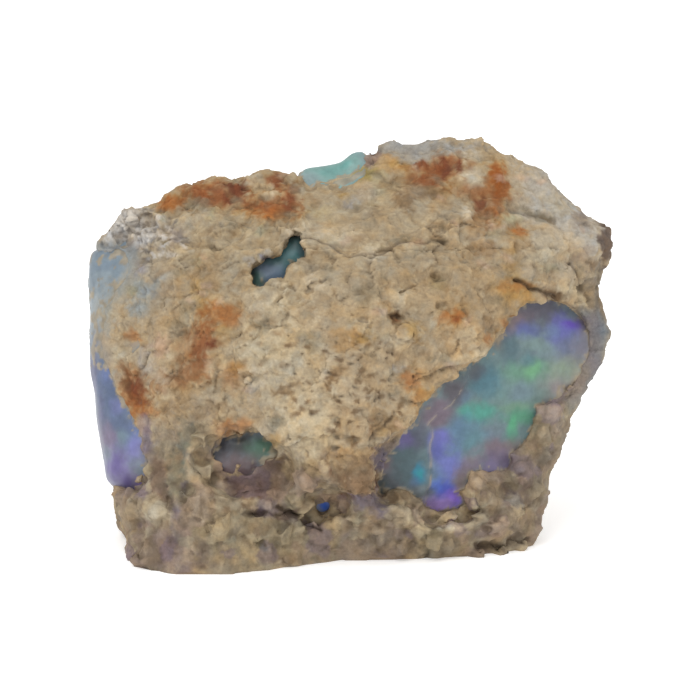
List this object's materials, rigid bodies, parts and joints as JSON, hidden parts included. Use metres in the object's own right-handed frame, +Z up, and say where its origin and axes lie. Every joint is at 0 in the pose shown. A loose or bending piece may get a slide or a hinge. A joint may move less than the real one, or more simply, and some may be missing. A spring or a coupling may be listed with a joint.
{
  "type": "opal in matrix",
  "caption": "Rough hand specimen of precious opal: a smooth seam bare at the sides and front, held in a crust of sandy host rock, standing on a flat foot.",
  "frame": {"origin": "middle of the bounding box in X and Y, on the plane of the flat foot", "axes": "+Z up from the foot, +X along the longest side, to the right of the face where the opal shows, +Y through the stone from that face to the back"},
  "size_m": [0.045, 0.0254, 0.034],
  "materials": {
    "host_rock": "rough, matte, grainy",
    "precious_opal": "satin to glassy, with play of colour"
  },
  "bodies": {
    "root": {"matrix": "host_rock", "opal": "precious_opal"}
  },
  "joints": []
}
